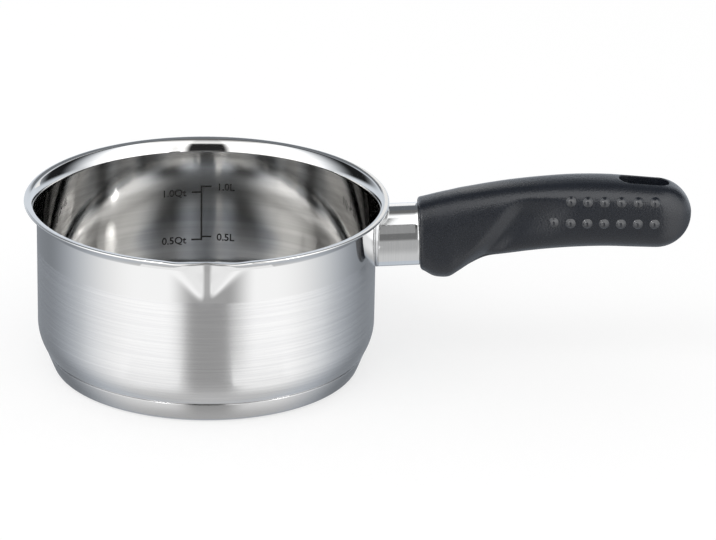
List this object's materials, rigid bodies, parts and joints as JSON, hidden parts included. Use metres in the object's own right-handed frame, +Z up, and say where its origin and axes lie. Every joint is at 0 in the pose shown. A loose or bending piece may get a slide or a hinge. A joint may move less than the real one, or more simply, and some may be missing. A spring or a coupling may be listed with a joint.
{
  "type": "milk pan",
  "caption": "Small stainless steel milk pan with a flared rim, a V spout at one side, a capsule base, an oval steel neck and a black moulded handle with finger guard, raised nubs and hang slot.",
  "frame": {"origin": "centre of the flat underside of the base, where the pan stands on the table or hob", "axes": "+Z up out of the pan, +X along the handle towards its tail, -Y towards the spout"},
  "size_m": [0.3175, 0.1728, 0.0957],
  "materials": {
    "pan_steel": "mirror polished inside and round the top, satin brushed round the lower wall",
    "spreader_aluminium": "pressed, closed in by the base capsule",
    "base_steel": "polished side and finely turned underside",
    "bracket_steel": "pressed sheet, mill finish",
    "sleeve_steel": "mirror polished tube",
    "grip_phenolic": "black moulded phenolic with a fine satin grain",
    "screw_steel": "bright zinc plated"
  },
  "bodies": {
    "root": {"pan_body": "pan_steel", "heat_spreader": "spreader_aluminium", "base_cap": "base_steel", "handle_bracket": "bracket_steel", "neck_sleeve": "sleeve_steel", "grip": "grip_phenolic", "grip_screw": "screw_steel", "lock_washer": "screw_steel", "bracket_nut": "screw_steel"}
  },
  "joints": []
}
